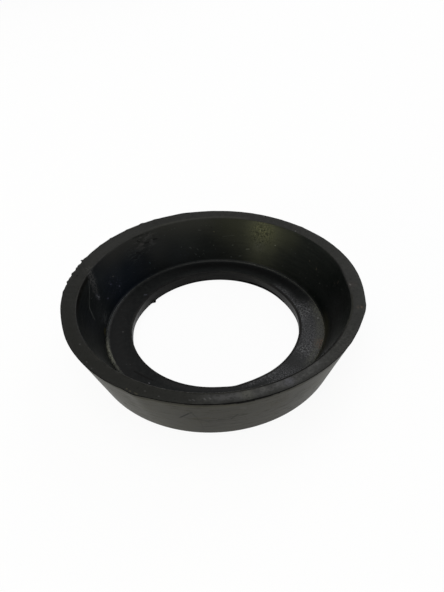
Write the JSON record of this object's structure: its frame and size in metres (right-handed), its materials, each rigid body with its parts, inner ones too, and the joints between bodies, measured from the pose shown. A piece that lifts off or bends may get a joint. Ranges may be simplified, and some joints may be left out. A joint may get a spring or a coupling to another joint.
{
  "type": "pump piston seal",
  "caption": "Flared cup seal of black rubber for a pump's piston, with a flat floor, a large central bore and a dished sealing lip.",
  "frame": {"origin": "centre of the flat underside, on the axis of the bore", "axes": "+Z along the bore's axis, from the underside up to the open mouth; X and Y are free, because the part is round"},
  "size_m": [0.08, 0.08, 0.0177],
  "materials": {
    "black_rubber": "satin moulded black rubber, matt and mottled on the lip, with fine scuffs and dust"
  },
  "bodies": {
    "root": {"cup_seal": "black_rubber"}
  },
  "joints": []
}
